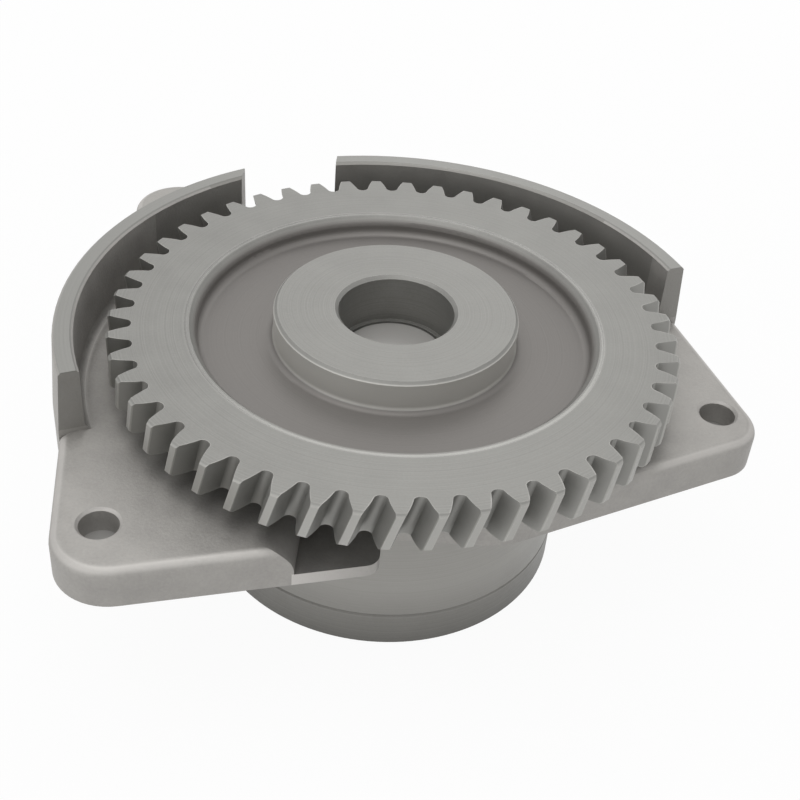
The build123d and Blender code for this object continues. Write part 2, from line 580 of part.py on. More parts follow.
def make_end_cover():
    cover = turned(
        (0, COVER_BOTTOM), (CUP_R - COVER_CHAMFER, COVER_BOTTOM), (CUP_R, COVER_BOTTOM + COVER_CHAMFER),
        (CUP_R, COVER_TOP - COVER_SEAM_CHAMFER), (CUP_R - COVER_SEAM_CHAMFER, COVER_TOP), (0, COVER_TOP))
    cover -= disc(LOWER_BUSH_R, LOWER_BUSH_BOTTOM - 2 * BUSH_INSET, COVER_TOP + 1)
    for angle, span, port_r in ((INLET_ANGLE, INLET_SPAN, INLET_R), (OUTLET_ANGLE, OUTLET_SPAN, OUTLET_R)):
        port = polar(PORT_OFFSET, angle)
        cover -= port_ring(angle, span, COVER_TOP - PORT_RING_DEPTH, COVER_TOP + 1)
        cover -= disc(port_r, COVER_BOTTOM - 1, COVER_TOP - PORT_RING_DEPTH + 0.5, port)
        middle = seal_ring_r(port_r)
        cover -= tube(middle - SEAL_SECTION_R, middle + SEAL_SECTION_R, COVER_BOTTOM - 1,
                      COVER_BOTTOM + 2 * SEAL_SECTION_R - SEAL_PROUD, port)
    for angle in SCREW_ANGLES:
        at = polar(SCREW_PCR, angle)
        cover -= disc(SCREW_R + SCREW_CLEARANCE, COVER_BOTTOM - 1, COVER_TOP + 1, at)
        cover -= disc(SCREW_HEAD_R + SCREW_CLEARANCE, COVER_BOTTOM - 1,
                      COVER_BOTTOM + SCREW_HEAD_HEIGHT + SCREW_CLEARANCE, at)
    for angle in DOWEL_ANGLES:
        cover -= disc(DOWEL_R, COVER_TOP - DOWEL_REACH, COVER_TOP + 1, polar(DOWEL_PCR, angle))
    cover -= disc(PLUG_R, COVER_BOTTOM - 1, COVER_TOP + 1, VALVE)
    return cover


def make_port_seal(angle, port_r):
    """A moulded ring of square section with blunted corners."""
    at = polar(PORT_OFFSET, angle)
    middle, half, blunt = seal_ring_r(port_r), SEAL_SECTION_R, SEAL_SECTION_R / 2
    level = COVER_BOTTOM + SEAL_SECTION_R - SEAL_PROUD
    section = [(half, blunt), (blunt, half), (-blunt, half), (-half, blunt),
               (-half, -blunt), (-blunt, -half), (blunt, -half), (half, -blunt)]
    return Pos(at.X, at.Y, level) * turned(*[(middle + r, z) for r, z in section])


def hex_socket(radius, depth, bottom, at):
    return Pos(at.X, at.Y, bottom) * extrude(RegularPolygon(radius, 6), depth)


def make_cover_screw(angle):
    at = polar(SCREW_PCR, angle)
    head_bottom = COVER_BOTTOM + SCREW_CLEARANCE
    head_top = head_bottom + SCREW_HEAD_HEIGHT
    screw = disc(SCREW_HEAD_R, head_bottom, head_top, at)
    screw = chamfer(screw.edges().group_by(Axis.Z)[0], 0.4)
    screw += disc(SCREW_R, head_top, COVER_TOP + SCREW_REACH, at)
    return screw - hex_socket(SCREW_SOCKET_R, SCREW_SOCKET_DEPTH, head_bottom, at)


def make_cover_dowel(angle):
    dowel = disc(DOWEL_R, COVER_TOP - DOWEL_REACH, COVER_TOP + DOWEL_REACH, polar(DOWEL_PCR, angle))
    return chamfer(dowel.edges().filter_by(GeomType.CIRCLE), 0.4)


def make_ring_dowel(hole):
    ring = bush(RING_DOWEL_R - RING_DOWEL_WALL, RING_DOWEL_R, -RING_DOWEL_REACH, RING_DOWEL_REACH)
    return Pos(hole.X, hole.Y, 0) * ring


# ---- Relief valve
def make_relief_piston():
    bottom = PISTON_TOP - PISTON_LENGTH
    piston = turned(
        (PISTON_R - PISTON_WALL, bottom), (PISTON_R, bottom), (PISTON_R, PISTON_TOP - 0.5),
        (PISTON_R - 0.5, PISTON_TOP), (0, PISTON_TOP), (0, PISTON_TOP - PISTON_HEAD),
        (PISTON_R - PISTON_WALL, PISTON_TOP - PISTON_HEAD))
    groove_top = PISTON_TOP - PISTON_GROOVE_AT
    groove = tube(PISTON_R - PISTON_GROOVE_DEPTH, PISTON_R + 1, groove_top - PISTON_GROOVE_WIDTH, groove_top)
    return Pos(VALVE.X, VALVE.Y, 0) * (piston - groove)


def make_relief_spring():
    bottom = SHIM_TOP + SPRING_WIRE_R
    top = PISTON_TOP - PISTON_HEAD - SPRING_WIRE_R
    coil = Helix((top - bottom) / SPRING_TURNS, top - bottom, SPRING_R)
    section = Plane(origin=coil @ 0, z_dir=coil % 0) * RegularPolygon(SPRING_WIRE_R, 8)
    return Pos(VALVE.X, VALVE.Y, bottom) * sweep(section, coil)


def make_relief_plug():
    plug = disc(PLUG_R, COVER_BOTTOM, PLUG_TOP, VALVE)
    plug = chamfer(plug.edges().filter_by(GeomType.CIRCLE), 0.5)
    return plug - hex_socket(PLUG_SOCKET_R, PLUG_SOCKET_DEPTH, COVER_BOTTOM, VALVE)


def make_gallery_plug():
    mouth, inward, _ = gallery_line()
    seated = drilling(mouth, inward, GALLERY_PLUG_LENGTH, GALLERY_R, -GALLERY_DEPTH)
    return seated & disc(CUP_R, -2 * GALLERY_DEPTH, 0)


parts = {
    "pump_housing": make_housing(),
    "drive_gear": make_drive_gear(),
    "drive_shaft": make_drive_shaft(),
    "rotor_key": make_rotor_key(),
    "rotor_retaining_ring": make_rotor_ring(),
    "inner_rotor": make_inner_rotor(),
    "outer_rotor": make_outer_rotor(),
    "thrust_washer": tube(SHAFT_SEAT_R + WASHER_HOLE_CLEARANCE, THRUST_WASHER_R, RECESS_FLOOR,
                          RECESS_FLOOR + THRUST_WASHER_THICKNESS),
    "upper_bush": bush(JOURNAL_R + BUSH_CLEARANCE, UPPER_BUSH_R, CHAMBER_TOP + BUSH_INSET,
                       RECESS_FLOOR - BUSH_INSET),
    "lower_bush": bush(LOWER_JOURNAL_R + BUSH_CLEARANCE, LOWER_BUSH_R, LOWER_BUSH_BOTTOM,
                       COVER_TOP - BUSH_INSET),
    "end_cover": make_end_cover(),
    "inlet_seal": make_port_seal(INLET_ANGLE, INLET_R),
    "outlet_seal": make_port_seal(OUTLET_ANGLE, OUTLET_R),
    "cover_screws": Compound([make_cover_screw(angle).solid() for angle in SCREW_ANGLES]),
    "cover_dowels": Compound([make_cover_dowel(angle).solid() for angle in DOWEL_ANGLES]),
    "ring_dowels": Compound([make_ring_dowel(hole).solid() for hole in (LEFT_HOLE, RIGHT_HOLE)]),
    "relief_piston": make_relief_piston(),
    "relief_spring": make_relief_spring(),
    "relief_shim": disc(VALVE_BORE_R - VALVE_CLEARANCE, PLUG_TOP, SHIM_TOP, VALVE),
    "relief_plug": make_relief_plug(),
    "gallery_plug": make_gallery_plug(),
}

os.makedirs("parts", exist_ok=True)
for name, shape in parts.items():
    export_step(shape, f"parts/{name}.step")
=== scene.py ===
import bpy
from math import radians
from mathutils import Matrix, Vector


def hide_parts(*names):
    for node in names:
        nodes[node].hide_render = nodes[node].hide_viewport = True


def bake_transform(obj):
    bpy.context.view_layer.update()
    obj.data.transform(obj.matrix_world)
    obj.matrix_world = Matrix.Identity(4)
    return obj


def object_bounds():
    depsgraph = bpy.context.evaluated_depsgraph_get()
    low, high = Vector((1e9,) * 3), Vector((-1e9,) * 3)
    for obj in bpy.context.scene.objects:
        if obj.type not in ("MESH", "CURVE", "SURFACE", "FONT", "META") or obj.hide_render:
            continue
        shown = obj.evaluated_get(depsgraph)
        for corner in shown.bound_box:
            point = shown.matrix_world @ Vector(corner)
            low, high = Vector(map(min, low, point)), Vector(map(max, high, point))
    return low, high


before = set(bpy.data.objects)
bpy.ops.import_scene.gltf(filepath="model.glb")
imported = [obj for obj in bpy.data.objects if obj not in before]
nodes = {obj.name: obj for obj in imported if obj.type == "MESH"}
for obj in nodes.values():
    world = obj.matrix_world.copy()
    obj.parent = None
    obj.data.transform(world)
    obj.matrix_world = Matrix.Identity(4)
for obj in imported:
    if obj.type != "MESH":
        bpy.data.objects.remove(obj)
solids_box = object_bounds()
bpy.ops.object.select_all(action="DESELECT")

# ---------------------------------------------------------------------------
# Pump housing. One aluminium casting: the flange with its three bolt ears, the
# open guard wall round the gear, and the round cup that holds the rotor set.
# Its skin is fine and slightly uneven from the mould; its seats are machined.


def shader_group(name, inputs, outputs):
    tree = bpy.data.node_groups.new(name, "ShaderNodeTree")
    for label, kind, value in inputs:
        socket = tree.interface.new_socket(label, in_out="INPUT", socket_type=kind)
        if value is not None:
            socket.default_value = value
    for label, kind in outputs:
        tree.interface.new_socket(label, in_out="OUTPUT", socket_type=kind)
    given = tree.nodes.new("NodeGroupInput").outputs
    result = tree.nodes.new("NodeGroupOutput").inputs
    return tree, given, result


def wire(tree, value, socket):
    if isinstance(value, bpy.types.NodeSocket):
        tree.links.new(value, socket)
    else:
        socket.default_value = value


def calc(tree, operation, a, b=0.0, c=0.0, clamp=False):
    node = tree.nodes.new("ShaderNodeMath")
    node.operation = operation
    node.use_clamp = clamp
    for value, socket in zip((a, b, c), node.inputs):
        wire(tree, value, socket)
    return node.outputs[0]


def product(tree, *masks):
    together = masks[0]
    for mask in masks[1:]:
        together = calc(tree, "MULTIPLY", together, mask)
    return together


def inverse(tree, mask):
    return calc(tree, "SUBTRACT", 1.0, mask)


def rescale(tree, value, low, high, to_low=0.0, to_high=1.0):
    node = tree.nodes.new("ShaderNodeMapRange")
    for entry, socket in zip((value, low, high, to_low, to_high), node.inputs):
        wire(tree, entry, socket)
    return node.outputs[0]


def noise(tree, coordinates, scale, detail=3.0, roughness=0.5):
    node = tree.nodes.new("ShaderNodeTexNoise")
    wire(tree, coordinates, node.inputs["Vector"])
    wire(tree, scale, node.inputs["Scale"])
    node.inputs["Detail"].default_value = detail
    node.inputs["Roughness"].default_value = roughness
    return node.outputs["Fac"]


def mix_colour(tree, factor, a, b, blend="MIX"):
    node = tree.nodes.new("ShaderNodeMix")
    node.data_type = "RGBA"
    node.blend_type = blend
    wire(tree, factor, node.inputs[0])
    wire(tree, a, node.inputs[6])
    wire(tree, b, node.inputs[7])
    return node.outputs[2]


def place(tree):
    return tree.nodes.new("ShaderNodeTexCoord").outputs["Object"]


def surface_normal(tree):
    return tree.nodes.new("ShaderNodeNewGeometry").outputs["Normal"]


def axes(tree, vector):
    node = tree.nodes.new("ShaderNodeSeparateXYZ")
    tree.links.new(vector, node.inputs[0])
    return node.outputs


def from_pump_axis(tree, where):
    return calc(tree, "SQRT", calc(tree, "MULTIPLY_ADD", where["X"], where["X"],
                                   calc(tree, "MULTIPLY", where["Y"], where["Y"])))


# Worn edges: bright where an edge sticks out, broken up by handling.
edge_wear, given, result = shader_group(
    "Worn edges", [("Width", "NodeSocketFloat", 0.0005), ("Breakup", "NodeSocketFloat", 300.0)],
    [("Mask", "NodeSocketFloat")])
bevel = edge_wear.nodes.new("ShaderNodeBevel")
bevel.samples = 6
edge_wear.links.new(given["Width"], bevel.inputs["Radius"])
dot = edge_wear.nodes.new("ShaderNodeVectorMath")
dot.operation = "DOT_PRODUCT"
edge_wear.links.new(bevel.outputs[0], dot.inputs[0])
edge_wear.links.new(surface_normal(edge_wear), dot.inputs[1])
turn = calc(edge_wear, "SUBTRACT", 1.0, dot.outputs["Value"])
patchy = rescale(edge_wear, noise(edge_wear, place(edge_wear), given["Breakup"]), 0.3, 0.65)
mask = calc(edge_wear, "MULTIPLY", rescale(edge_wear, turn, 0.02, 0.25), patchy, clamp=True)
edge_wear.links.new(mask, result["Mask"])

# Grime and painted shade: inside corners are painted darker the more closed they are, for the oil and fine
# swarf there and for the shade that falls in them.
grime_and_shade, given, result = shader_group(
    "Corner grime and shade", [("Reach", "NodeSocketFloat", 0.006), ("Patches", "NodeSocketFloat", 120.0)],
    [("Mask", "NodeSocketFloat")])
shade = grime_and_shade.nodes.new("ShaderNodeAmbientOcclusion")
shade.samples = 8
grime_and_shade.links.new(given["Reach"], shade.inputs["Distance"])
closed = rescale(grime_and_shade, shade.outputs["AO"], 0.85, 0.25)
patchy = rescale(grime_and_shade, noise(grime_and_shade, place(grime_and_shade), given["Patches"]), 0.25, 0.6, 0.55, 1.0)
mask = calc(grime_and_shade, "MULTIPLY", closed, patchy, clamp=True)
grime_and_shade.links.new(mask, result["Mask"])

# Cast skin: the fine grain of the mould with soft hollows.
cast_skin, given, result = shader_group(
    "Cast skin", [("Grain", "NodeSocketFloat", 1500.0), ("Hollows", "NodeSocketFloat", 160.0)],
    [("Tone", "NodeSocketFloat"), ("Height", "NodeSocketFloat")])
fine = noise(cast_skin, place(cast_skin), given["Grain"], 4.0, 0.6)
soft = noise(cast_skin, place(cast_skin), given["Hollows"], 2.0, 0.5)
height = calc(cast_skin, "MULTIPLY_ADD", soft, 0.7, calc(cast_skin, "MULTIPLY", fine, 0.6))
cast_skin.links.new(height, result["Height"])
tone = calc(cast_skin, "MULTIPLY_ADD", fine, 0.5, calc(cast_skin, "MULTIPLY", soft, 0.5))
cast_skin.links.new(tone, result["Tone"])

# Turned rings: the fine grooves that a lathe tool leaves round the pump axis,
# by radius on flat faces and by height on round walls.
turned_rings, given, result = shader_group(
    "Turned rings", [("Pitch", "NodeSocketFloat", 0.0004)],
    [("Tone", "NodeSocketFloat"), ("Height", "NodeSocketFloat"), ("Face", "NodeSocketFloat")])
where = axes(turned_rings, place(turned_rings))
level = calc(turned_rings, "ABSOLUTE", axes(turned_rings, surface_normal(turned_rings))["Z"])
face = rescale(turned_rings, level, 0.6, 0.9)
travel = turned_rings.nodes.new("ShaderNodeMix")
turned_rings.links.new(face, travel.inputs[0])
turned_rings.links.new(where["Z"], travel.inputs[2])
turned_rings.links.new(from_pump_axis(turned_rings, where), travel.inputs[3])
turns = calc(turned_rings, "DIVIDE", travel.outputs[0], given["Pitch"])
groove = turned_rings.nodes.new("ShaderNodeTexNoise")
groove.noise_dimensions = "1D"
groove.inputs["Scale"].default_value = 1.0
groove.inputs["Detail"].default_value = 3.0
turned_rings.links.new(turns, groove.inputs["W"])
turned_rings.links.new(groove.outputs["Fac"], result["Height"])
turned_rings.links.new(groove.outputs["Fac"], result["Tone"])
turned_rings.links.new(face, result["Face"])


def use_group(tree, group, **values):
    node = tree.nodes.new("ShaderNodeGroup")
    node.node_tree = group
    for label, value in values.items():
        wire(tree, value, node.inputs[label])
    return node.outputs


def blank_material(name):
    material = bpy.data.materials.new(name)
    material.use_nodes = True
    return material, material.node_tree, material.node_tree.nodes["Principled BSDF"]


def bump(tree, shader, height, strength, depth):
    node = tree.nodes.new("ShaderNodeBump")
    node.inputs["Strength"].default_value = strength
    node.inputs["Distance"].default_value = depth
    tree.links.new(height, node.inputs["Height"])
    tree.links.new(node.outputs[0], shader.inputs["Normal"])


def dress(node, material):
    for number in range(max(1, len(nodes[node].material_slots))):
        if nodes[node].material_slots:
            nodes[node].material_slots[number].material = material
        else:
            nodes[node].data.materials.append(material)


cast_light = (0.421, 0.407, 0.386, 1.0)
cast_dark = (0.345, 0.333, 0.316, 1.0)
turned_wall = (0.318, 0.315, 0.293, 1.0)
cover_light = (0.232, 0.227, 0.211, 1.0)
machined_bright = (0.288, 0.285, 0.269, 1.0)
painted_highlight = (0.62, 0.6, 0.575, 1.0)
grime_and_shade_dark = (0.055, 0.052, 0.048, 1.0)
# heights above the mounting face
guard_rim_from, flange_top, underside, cup_from = 0.0262, 0.01, 0.0002, -0.003
cup_darker_from, cup_darker_full = -0.019, -0.029
# distances from the pump's axis
pocket_r, flange_edge_r, ears_from_r = 0.064, 0.066, 0.071
# the front of the drain channel's lip
lip_top, lip_behind, lip_left, lip_right = 0.0033, -0.045, -0.0165, 0.002

housing_metal, tree, shader = blank_material("Cast aluminium")
skin = use_group(tree, cast_skin, Grain=1400.0, Hollows=150.0)
rings = use_group(tree, turned_rings, Pitch=0.00045)
worn = use_group(tree, edge_wear, Width=0.0006, Breakup=260.0)
dirt_and_shade = use_group(tree, grime_and_shade, Reach=0.006, Patches=90.0)
where = axes(tree, place(tree))
facing = axes(tree, surface_normal(tree))
out = from_pump_axis(tree, where)
front_face = calc(tree, "LESS_THAN", facing["Y"], -0.5)
# machined: the guard's top rim, the flange's underside and the turned cup
rim = calc(tree, "GREATER_THAN", where["Z"], guard_rim_from)
under = product(tree, calc(tree, "LESS_THAN", where["Z"], underside),
                calc(tree, "LESS_THAN", facing["Z"], -0.9))
cup = calc(tree, "LESS_THAN", where["Z"], cup_from)
faced = calc(tree, "ADD", rim, under, clamp=True)
machined = calc(tree, "ADD", faced, cup, clamp=True)
colour = mix_colour(tree, rescale(tree, skin["Tone"], 0.35, 0.65), cast_dark, cast_light)
colour = mix_colour(tree, faced, colour, machined_bright)
# the cup's wall turns darker downwards
wall = mix_colour(tree, rescale(tree, rings["Tone"], 0.3, 0.7), turned_wall, cast_dark)
wall = mix_colour(tree, rescale(tree, where["Z"], cup_darker_from, cup_darker_full, 0.0, 0.8), wall, cover_light)
colour = mix_colour(tree, cup, colour, wall)
# the corners get oil and painted shade, and the pocket under the gear and the drain channel get painted
# shade
darkening = product(tree, rescale(tree, out, pocket_r + 0.003, pocket_r, 0.0, 0.2),
               inverse(tree, cup), inverse(tree, front_face))
corners = product(tree, dirt_and_shade["Mask"], inverse(tree, calc(tree, "MULTIPLY", cup, 0.8)),
                  rescale(tree, out, ears_from_r, ears_from_r + 0.003, 1.0, 0.3))
colour = mix_colour(tree, calc(tree, "MAXIMUM", corners, darkening), colour, grime_and_shade_dark)
# the guard's faces towards the front, its cut ends and its inner wall, get painted shade
guard_front_shade = product(tree, front_face, calc(tree, "GREATER_THAN", where["Z"], flange_top + 0.001))
colour = mix_colour(tree, calc(tree, "MULTIPLY", guard_front_shade, 0.6), colour, cover_light)
# the flange's rounded upper edge gets a painted highlight
flange_edge_highlight = product(tree, rescale(tree, facing["Z"], 0.99, 0.93), rescale(tree, facing["Z"], 0.45, 0.7),
               rescale(tree, out, flange_edge_r, flange_edge_r + 0.002, 0.0, 0.45),
               calc(tree, "LESS_THAN", where["Z"], flange_top + 0.0001))
colour = mix_colour(tree, flange_edge_highlight, colour, painted_highlight)
# the front of the channel's lip gets a painted highlight, strongest at its left end
lip_highlight = product(tree, front_face, calc(tree, "LESS_THAN", where["Z"], lip_top + 0.0001),
              calc(tree, "LESS_THAN", where["Y"], lip_behind),
              calc(tree, "GREATER_THAN", where["X"], lip_left),
              rescale(tree, where["X"], lip_left, lip_right, 0.9, 0.0))
colour = mix_colour(tree, lip_highlight, colour, painted_highlight)
colour = mix_colour(tree, calc(tree, "MULTIPLY", worn["Mask"], 0.5), colour, machined_bright)
tree.links.new(colour, shader.inputs["Base Color"])
shader.inputs["Metallic"].default_value = 0.55
rough = calc(tree, "SUBTRACT", rescale(tree, skin["Tone"], 0.3, 0.7, 0.5, 0.62),
             calc(tree, "MULTIPLY", machined, 0.16))
tree.links.new(rough, shader.inputs["Roughness"])
grain = product(tree, skin["Height"], inverse(tree, calc(tree, "MULTIPLY", machined, 0.9)))
grooves = calc(tree, "MULTIPLY", machined, 0.25)
bump(tree, shader, calc(tree, "MULTIPLY_ADD", rings["Height"], grooves, grain), 0.35, 0.0004)
dress("pump_housing", housing_metal)

# ---------------------------------------------------------------------------
# Bearing bushes and thrust washer. Plain bronze: two bushes pressed into the
# housing and the cover carry the shaft, the washer carries the gear's hub.
bronze_dark = (0.36, 0.25, 0.12, 1.0)
bronze_light = (0.52, 0.38, 0.2, 1.0)
bronze_rubbed = (0.66, 0.5, 0.3, 1.0)

bronze, tree, shader = blank_material("Bearing bronze")
rings = use_group(tree, turned_rings, Pitch=0.00025)
worn = use_group(tree, edge_wear, Width=0.0003, Breakup=400.0)
dirt_and_shade = use_group(tree, grime_and_shade, Reach=0.003, Patches=200.0)
colour = mix_colour(tree, rings["Tone"], bronze_dark, bronze_light)
colour = mix_colour(tree, worn["Mask"], colour, bronze_rubbed)
# inside corners get oil and painted shade
colour = mix_colour(tree, calc(tree, "MULTIPLY", dirt_and_shade["Mask"], 0.7), colour, grime_and_shade_dark)
tree.links.new(colour, shader.inputs["Base Color"])
shader.inputs["Metallic"].default_value = 0.9
tree.links.new(rescale(tree, rings["Tone"], 0.3, 0.7, 0.28, 0.42), shader.inputs["Roughness"])
bump(tree, shader, rings["Height"], 0.25, 0.0001)
for name in ("upper_bush", "lower_bush", "thrust_washer"):
    dress(name, bronze)

# ---------------------------------------------------------------------------
# Rotor set. Two pressed and sintered steel rotors: the inner one is keyed to
# the shaft, the outer one runs round it in the chamber, one tooth behind.
sintered_dark = (0.16, 0.155, 0.15, 1.0)
sintered_light = (0.27, 0.265, 0.26, 1.0)
sintered_rubbed = (0.45, 0.44, 0.43, 1.0)

sintered, tree, shader = blank_material("Sintered rotor steel")
pores = use_group(tree, cast_skin, Grain=4200.0, Hollows=300.0)
worn = use_group(tree, edge_wear, Width=0.0003, Breakup=300.0)
dirt_and_shade = use_group(tree, grime_and_shade, Reach=0.004, Patches=150.0)
colour = mix_colour(tree, rescale(tree, pores["Tone"], 0.35, 0.65), sintered_dark, sintered_light)
colour = mix_colour(tree, worn["Mask"], colour, sintered_rubbed)
# inside corners get oil and painted shade
colour = mix_colour(tree, calc(tree, "MULTIPLY", dirt_and_shade["Mask"], 0.8), colour, grime_and_shade_dark)
tree.links.new(colour, shader.inputs["Base Color"])
shader.inputs["Metallic"].default_value = 0.85
tree.links.new(rescale(tree, pores["Tone"], 0.3, 0.7, 0.3, 0.45), shader.inputs["Roughness"])
bump(tree, shader, pores["Height"], 0.25, 0.0001)
for name in ("inner_rotor", "outer_rotor"):
    dress(name, sintered)

# ---------------------------------------------------------------------------
# Shaft, key, dowels, relief piston, shim and gallery plug. Hardened steel,
# ground to size and pressed or slid into its seats, with a fine, even sheen.
ground_dark = (0.44, 0.43, 0.415, 1.0)
ground_light = (0.54, 0.53, 0.51, 1.0)
ground_rubbed = (0.6, 0.59, 0.57, 1.0)

ground_steel, tree, shader = blank_material("Ground steel")
rings = use_group(tree, turned_rings, Pitch=0.00018)
worn = use_group(tree, edge_wear, Width=0.0003, Breakup=400.0)
dirt_and_shade = use_group(tree, grime_and_shade, Reach=0.004, Patches=150.0)
colour = mix_colour(tree, rings["Tone"], ground_dark, ground_light)
colour = mix_colour(tree, worn["Mask"], colour, ground_rubbed)
# inside corners get oil and painted shade
colour = mix_colour(tree, calc(tree, "MULTIPLY", dirt_and_shade["Mask"], 0.7), colour, grime_and_shade_dark)
tree.links.new(colour, shader.inputs["Base Color"])
shader.inputs["Metallic"].default_value = 0.45
tree.links.new(rescale(tree, rings["Tone"], 0.3, 0.7, 0.42, 0.52), shader.inputs["Roughness"])
bump(tree, shader, rings["Height"], 0.2, 0.0001)
for name in ("drive_shaft", "rotor_key", "cover_dowels", "ring_dowels", "relief_piston", "relief_shim",
             "gallery_plug"):
    dress(name, ground_steel)

# ---------------------------------------------------------------------------
# Drive gear. A forged steel blank with hobbed helical teeth, pressed on the
# shaft; its rim and hub are turned and its web keeps the darker forged skin.
gear_rim_light = (0.288, 0.285, 0.269, 1.0)
gear_rim_dark = (0.236, 0.233, 0.220, 1.0)
forged_light = (0.239, 0.227, 0.215, 1.0)
forged_dark = (0.184, 0.175, 0.166, 1.0)
tooth_flank = (0.301, 0.298, 0.282, 1.0)
tooth_land_highlight = (0.419, 0.414, 0.392, 1.0)
painted_light_steel = (0.603, 0.595, 0.563, 1.0)
rim_inner_r, rim_corner, hub_r = 0.0472, 0.0016, 0.0284
tooth_foot_r, tooth_tip_r = 0.0585, 0.0661

gear_steel, tree, shader = blank_material("Hobbed gear steel")
rings = use_group(tree, turned_rings, Pitch=0.0004)
skin = use_group(tree, cast_skin, Grain=1800.0, Hollows=120.0)
worn = use_group(tree, edge_wear, Width=0.0005, Breakup=350.0)
dirt_and_shade = use_group(tree, grime_and_shade, Reach=0.0035, Patches=140.0)
out = from_pump_axis(tree, axes(tree, place(tree)))
upright = inverse(tree, rings["Face"])
tone = calc(tree, "MULTIPLY_ADD", rings["Tone"], 0.4, calc(tree, "MULTIPLY", skin["Tone"], 0.6))
colour = mix_colour(tree, rescale(tree, tone, 0.38, 0.62), gear_rim_dark, gear_rim_light)
# the forged skin lies between the rim's inner wall and the turned hub
web = product(tree, rescale(tree, out, rim_inner_r, rim_inner_r - 0.001),
              rescale(tree, out, hub_r + 0.0001, hub_r + 0.0003))
colour = mix_colour(tree, web, colour, mix_colour(tree, skin["Tone"], forged_dark, forged_light))
# the hub's outer wall is turned, and painted much lighter than the rim against the shade of the recess
# round it
hub_wall_light = product(tree, rescale(tree, out, hub_r - 0.0003, hub_r - 0.0001),
                   rescale(tree, out, hub_r + 0.0003, hub_r + 0.0001), upright)
colour = mix_colour(tree, hub_wall_light, colour, painted_light_steel)
# the hobbed flanks are a little lighter than the rim, and the tooth tops are rubbed bright with a painted
# highlight on them
flanks = product(tree, rescale(tree, out, tooth_tip_r, tooth_tip_r - 0.0005),
                 rescale(tree, out, tooth_foot_r, tooth_foot_r + 0.001), upright)
colour = mix_colour(tree, calc(tree, "MULTIPLY", flanks, 0.85), colour, tooth_flank)
land_highlight = product(tree, rescale(tree, out, tooth_tip_r - 0.0004, tooth_tip_r - 0.0002), upright)
colour = mix_colour(tree, land_highlight, colour, tooth_land_highlight)
# oil and painted shade between the teeth
oil_and_shade = product(tree, dirt_and_shade["Mask"], rescale(tree, out, tooth_foot_r - 0.006, tooth_foot_r, 0.0, 0.35))
colour = mix_colour(tree, oil_and_shade, colour, grime_and_shade_dark)
# the edges are worn bright, and this light colour also paints a highlight along them
colour = mix_colour(tree, calc(tree, "MULTIPLY", worn["Mask"], 0.7), colour, painted_light_steel)
tree.links.new(colour, shader.inputs["Base Color"])
shader.inputs["Metallic"].default_value = 0.6
# the forged skin is rougher, and the rim's rounded inner corner is burnished
corner = product(tree, rescale(tree, out, rim_inner_r + rim_corner * 0.4, rim_inner_r + rim_corner * 0.55),
                 rescale(tree, out, rim_inner_r + rim_corner * 1.05, rim_inner_r + rim_corner * 0.9))
polish = calc(tree, "SUBTRACT", calc(tree, "MULTIPLY", web, 0.12), calc(tree, "MULTIPLY", corner, 0.25))
rough = calc(tree, "ADD", rescale(tree, tone, 0.35, 0.65, 0.4, 0.5), polish)
tree.links.new(rough, shader.inputs["Roughness"])
grain = calc(tree, "MULTIPLY", skin["Height"], 0.3)
bump(tree, shader, calc(tree, "MULTIPLY_ADD", rings["Height"], 0.5, grain), 0.25, 0.0002)
dress("drive_gear", gear_steel)

# ---------------------------------------------------------------------------
# Retaining ring and relief spring. Spring steel strip and coiled wire, dark
# from tempering. The ring snaps into the shaft's groove.
tempered_dark = (0.09, 0.09, 0.1, 1.0)
tempered_light = (0.18, 0.18, 0.19, 1.0)
tempered_rubbed = (0.4, 0.4, 0.41, 1.0)

tempered, tree, shader = blank_material("Tempered spring steel")
skin = use_group(tree, cast_skin, Grain=3000.0, Hollows=500.0)
worn = use_group(tree, edge_wear, Width=0.0002, Breakup=500.0)
colour = mix_colour(tree, skin["Tone"], tempered_dark, tempered_light)
colour = mix_colour(tree, worn["Mask"], colour, tempered_rubbed)
tree.links.new(colour, shader.inputs["Base Color"])
shader.inputs["Metallic"].default_value = 0.9
tree.links.new(rescale(tree, skin["Tone"], 0.3, 0.7, 0.32, 0.45), shader.inputs["Roughness"])
bump(tree, shader, skin["Height"], 0.15, 0.0001)
for name in ("rotor_retaining_ring", "relief_spring"):
    dress(name, tempered)

# The spring stands on its shim over the relief plug and pushes the piston up.
# A merged, smooth-shaded copy of its mesh is shown in its place.
same_point, smooth_up_to = 0.000001, radians(50.0)
relief_coil = bpy.data.objects.new("relief_coil", nodes["relief_spring"].data.copy())
bpy.context.scene.collection.objects.link(relief_coil)
bpy.context.view_layer.objects.active = relief_coil
relief_coil.select_set(True)
bpy.ops.object.mode_set(mode="EDIT")
bpy.ops.mesh.select_all(action="SELECT")
bpy.ops.mesh.remove_doubles(threshold=same_point)
bpy.ops.object.mode_set(mode="OBJECT")
bpy.ops.object.shade_smooth_by_angle(angle=smooth_up_to)
relief_coil.select_set(False)
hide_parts("relief_spring")
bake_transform(relief_coil)

# ---------------------------------------------------------------------------
# End cover. A turned aluminium disc that closes the rotor chamber, with the
# suction and pressure ports; it is darker towards its lower edge.
cover_dark = (0.137, 0.134, 0.124, 1.0)
cover_darker_from, cover_darker_full = -0.028, -0.037

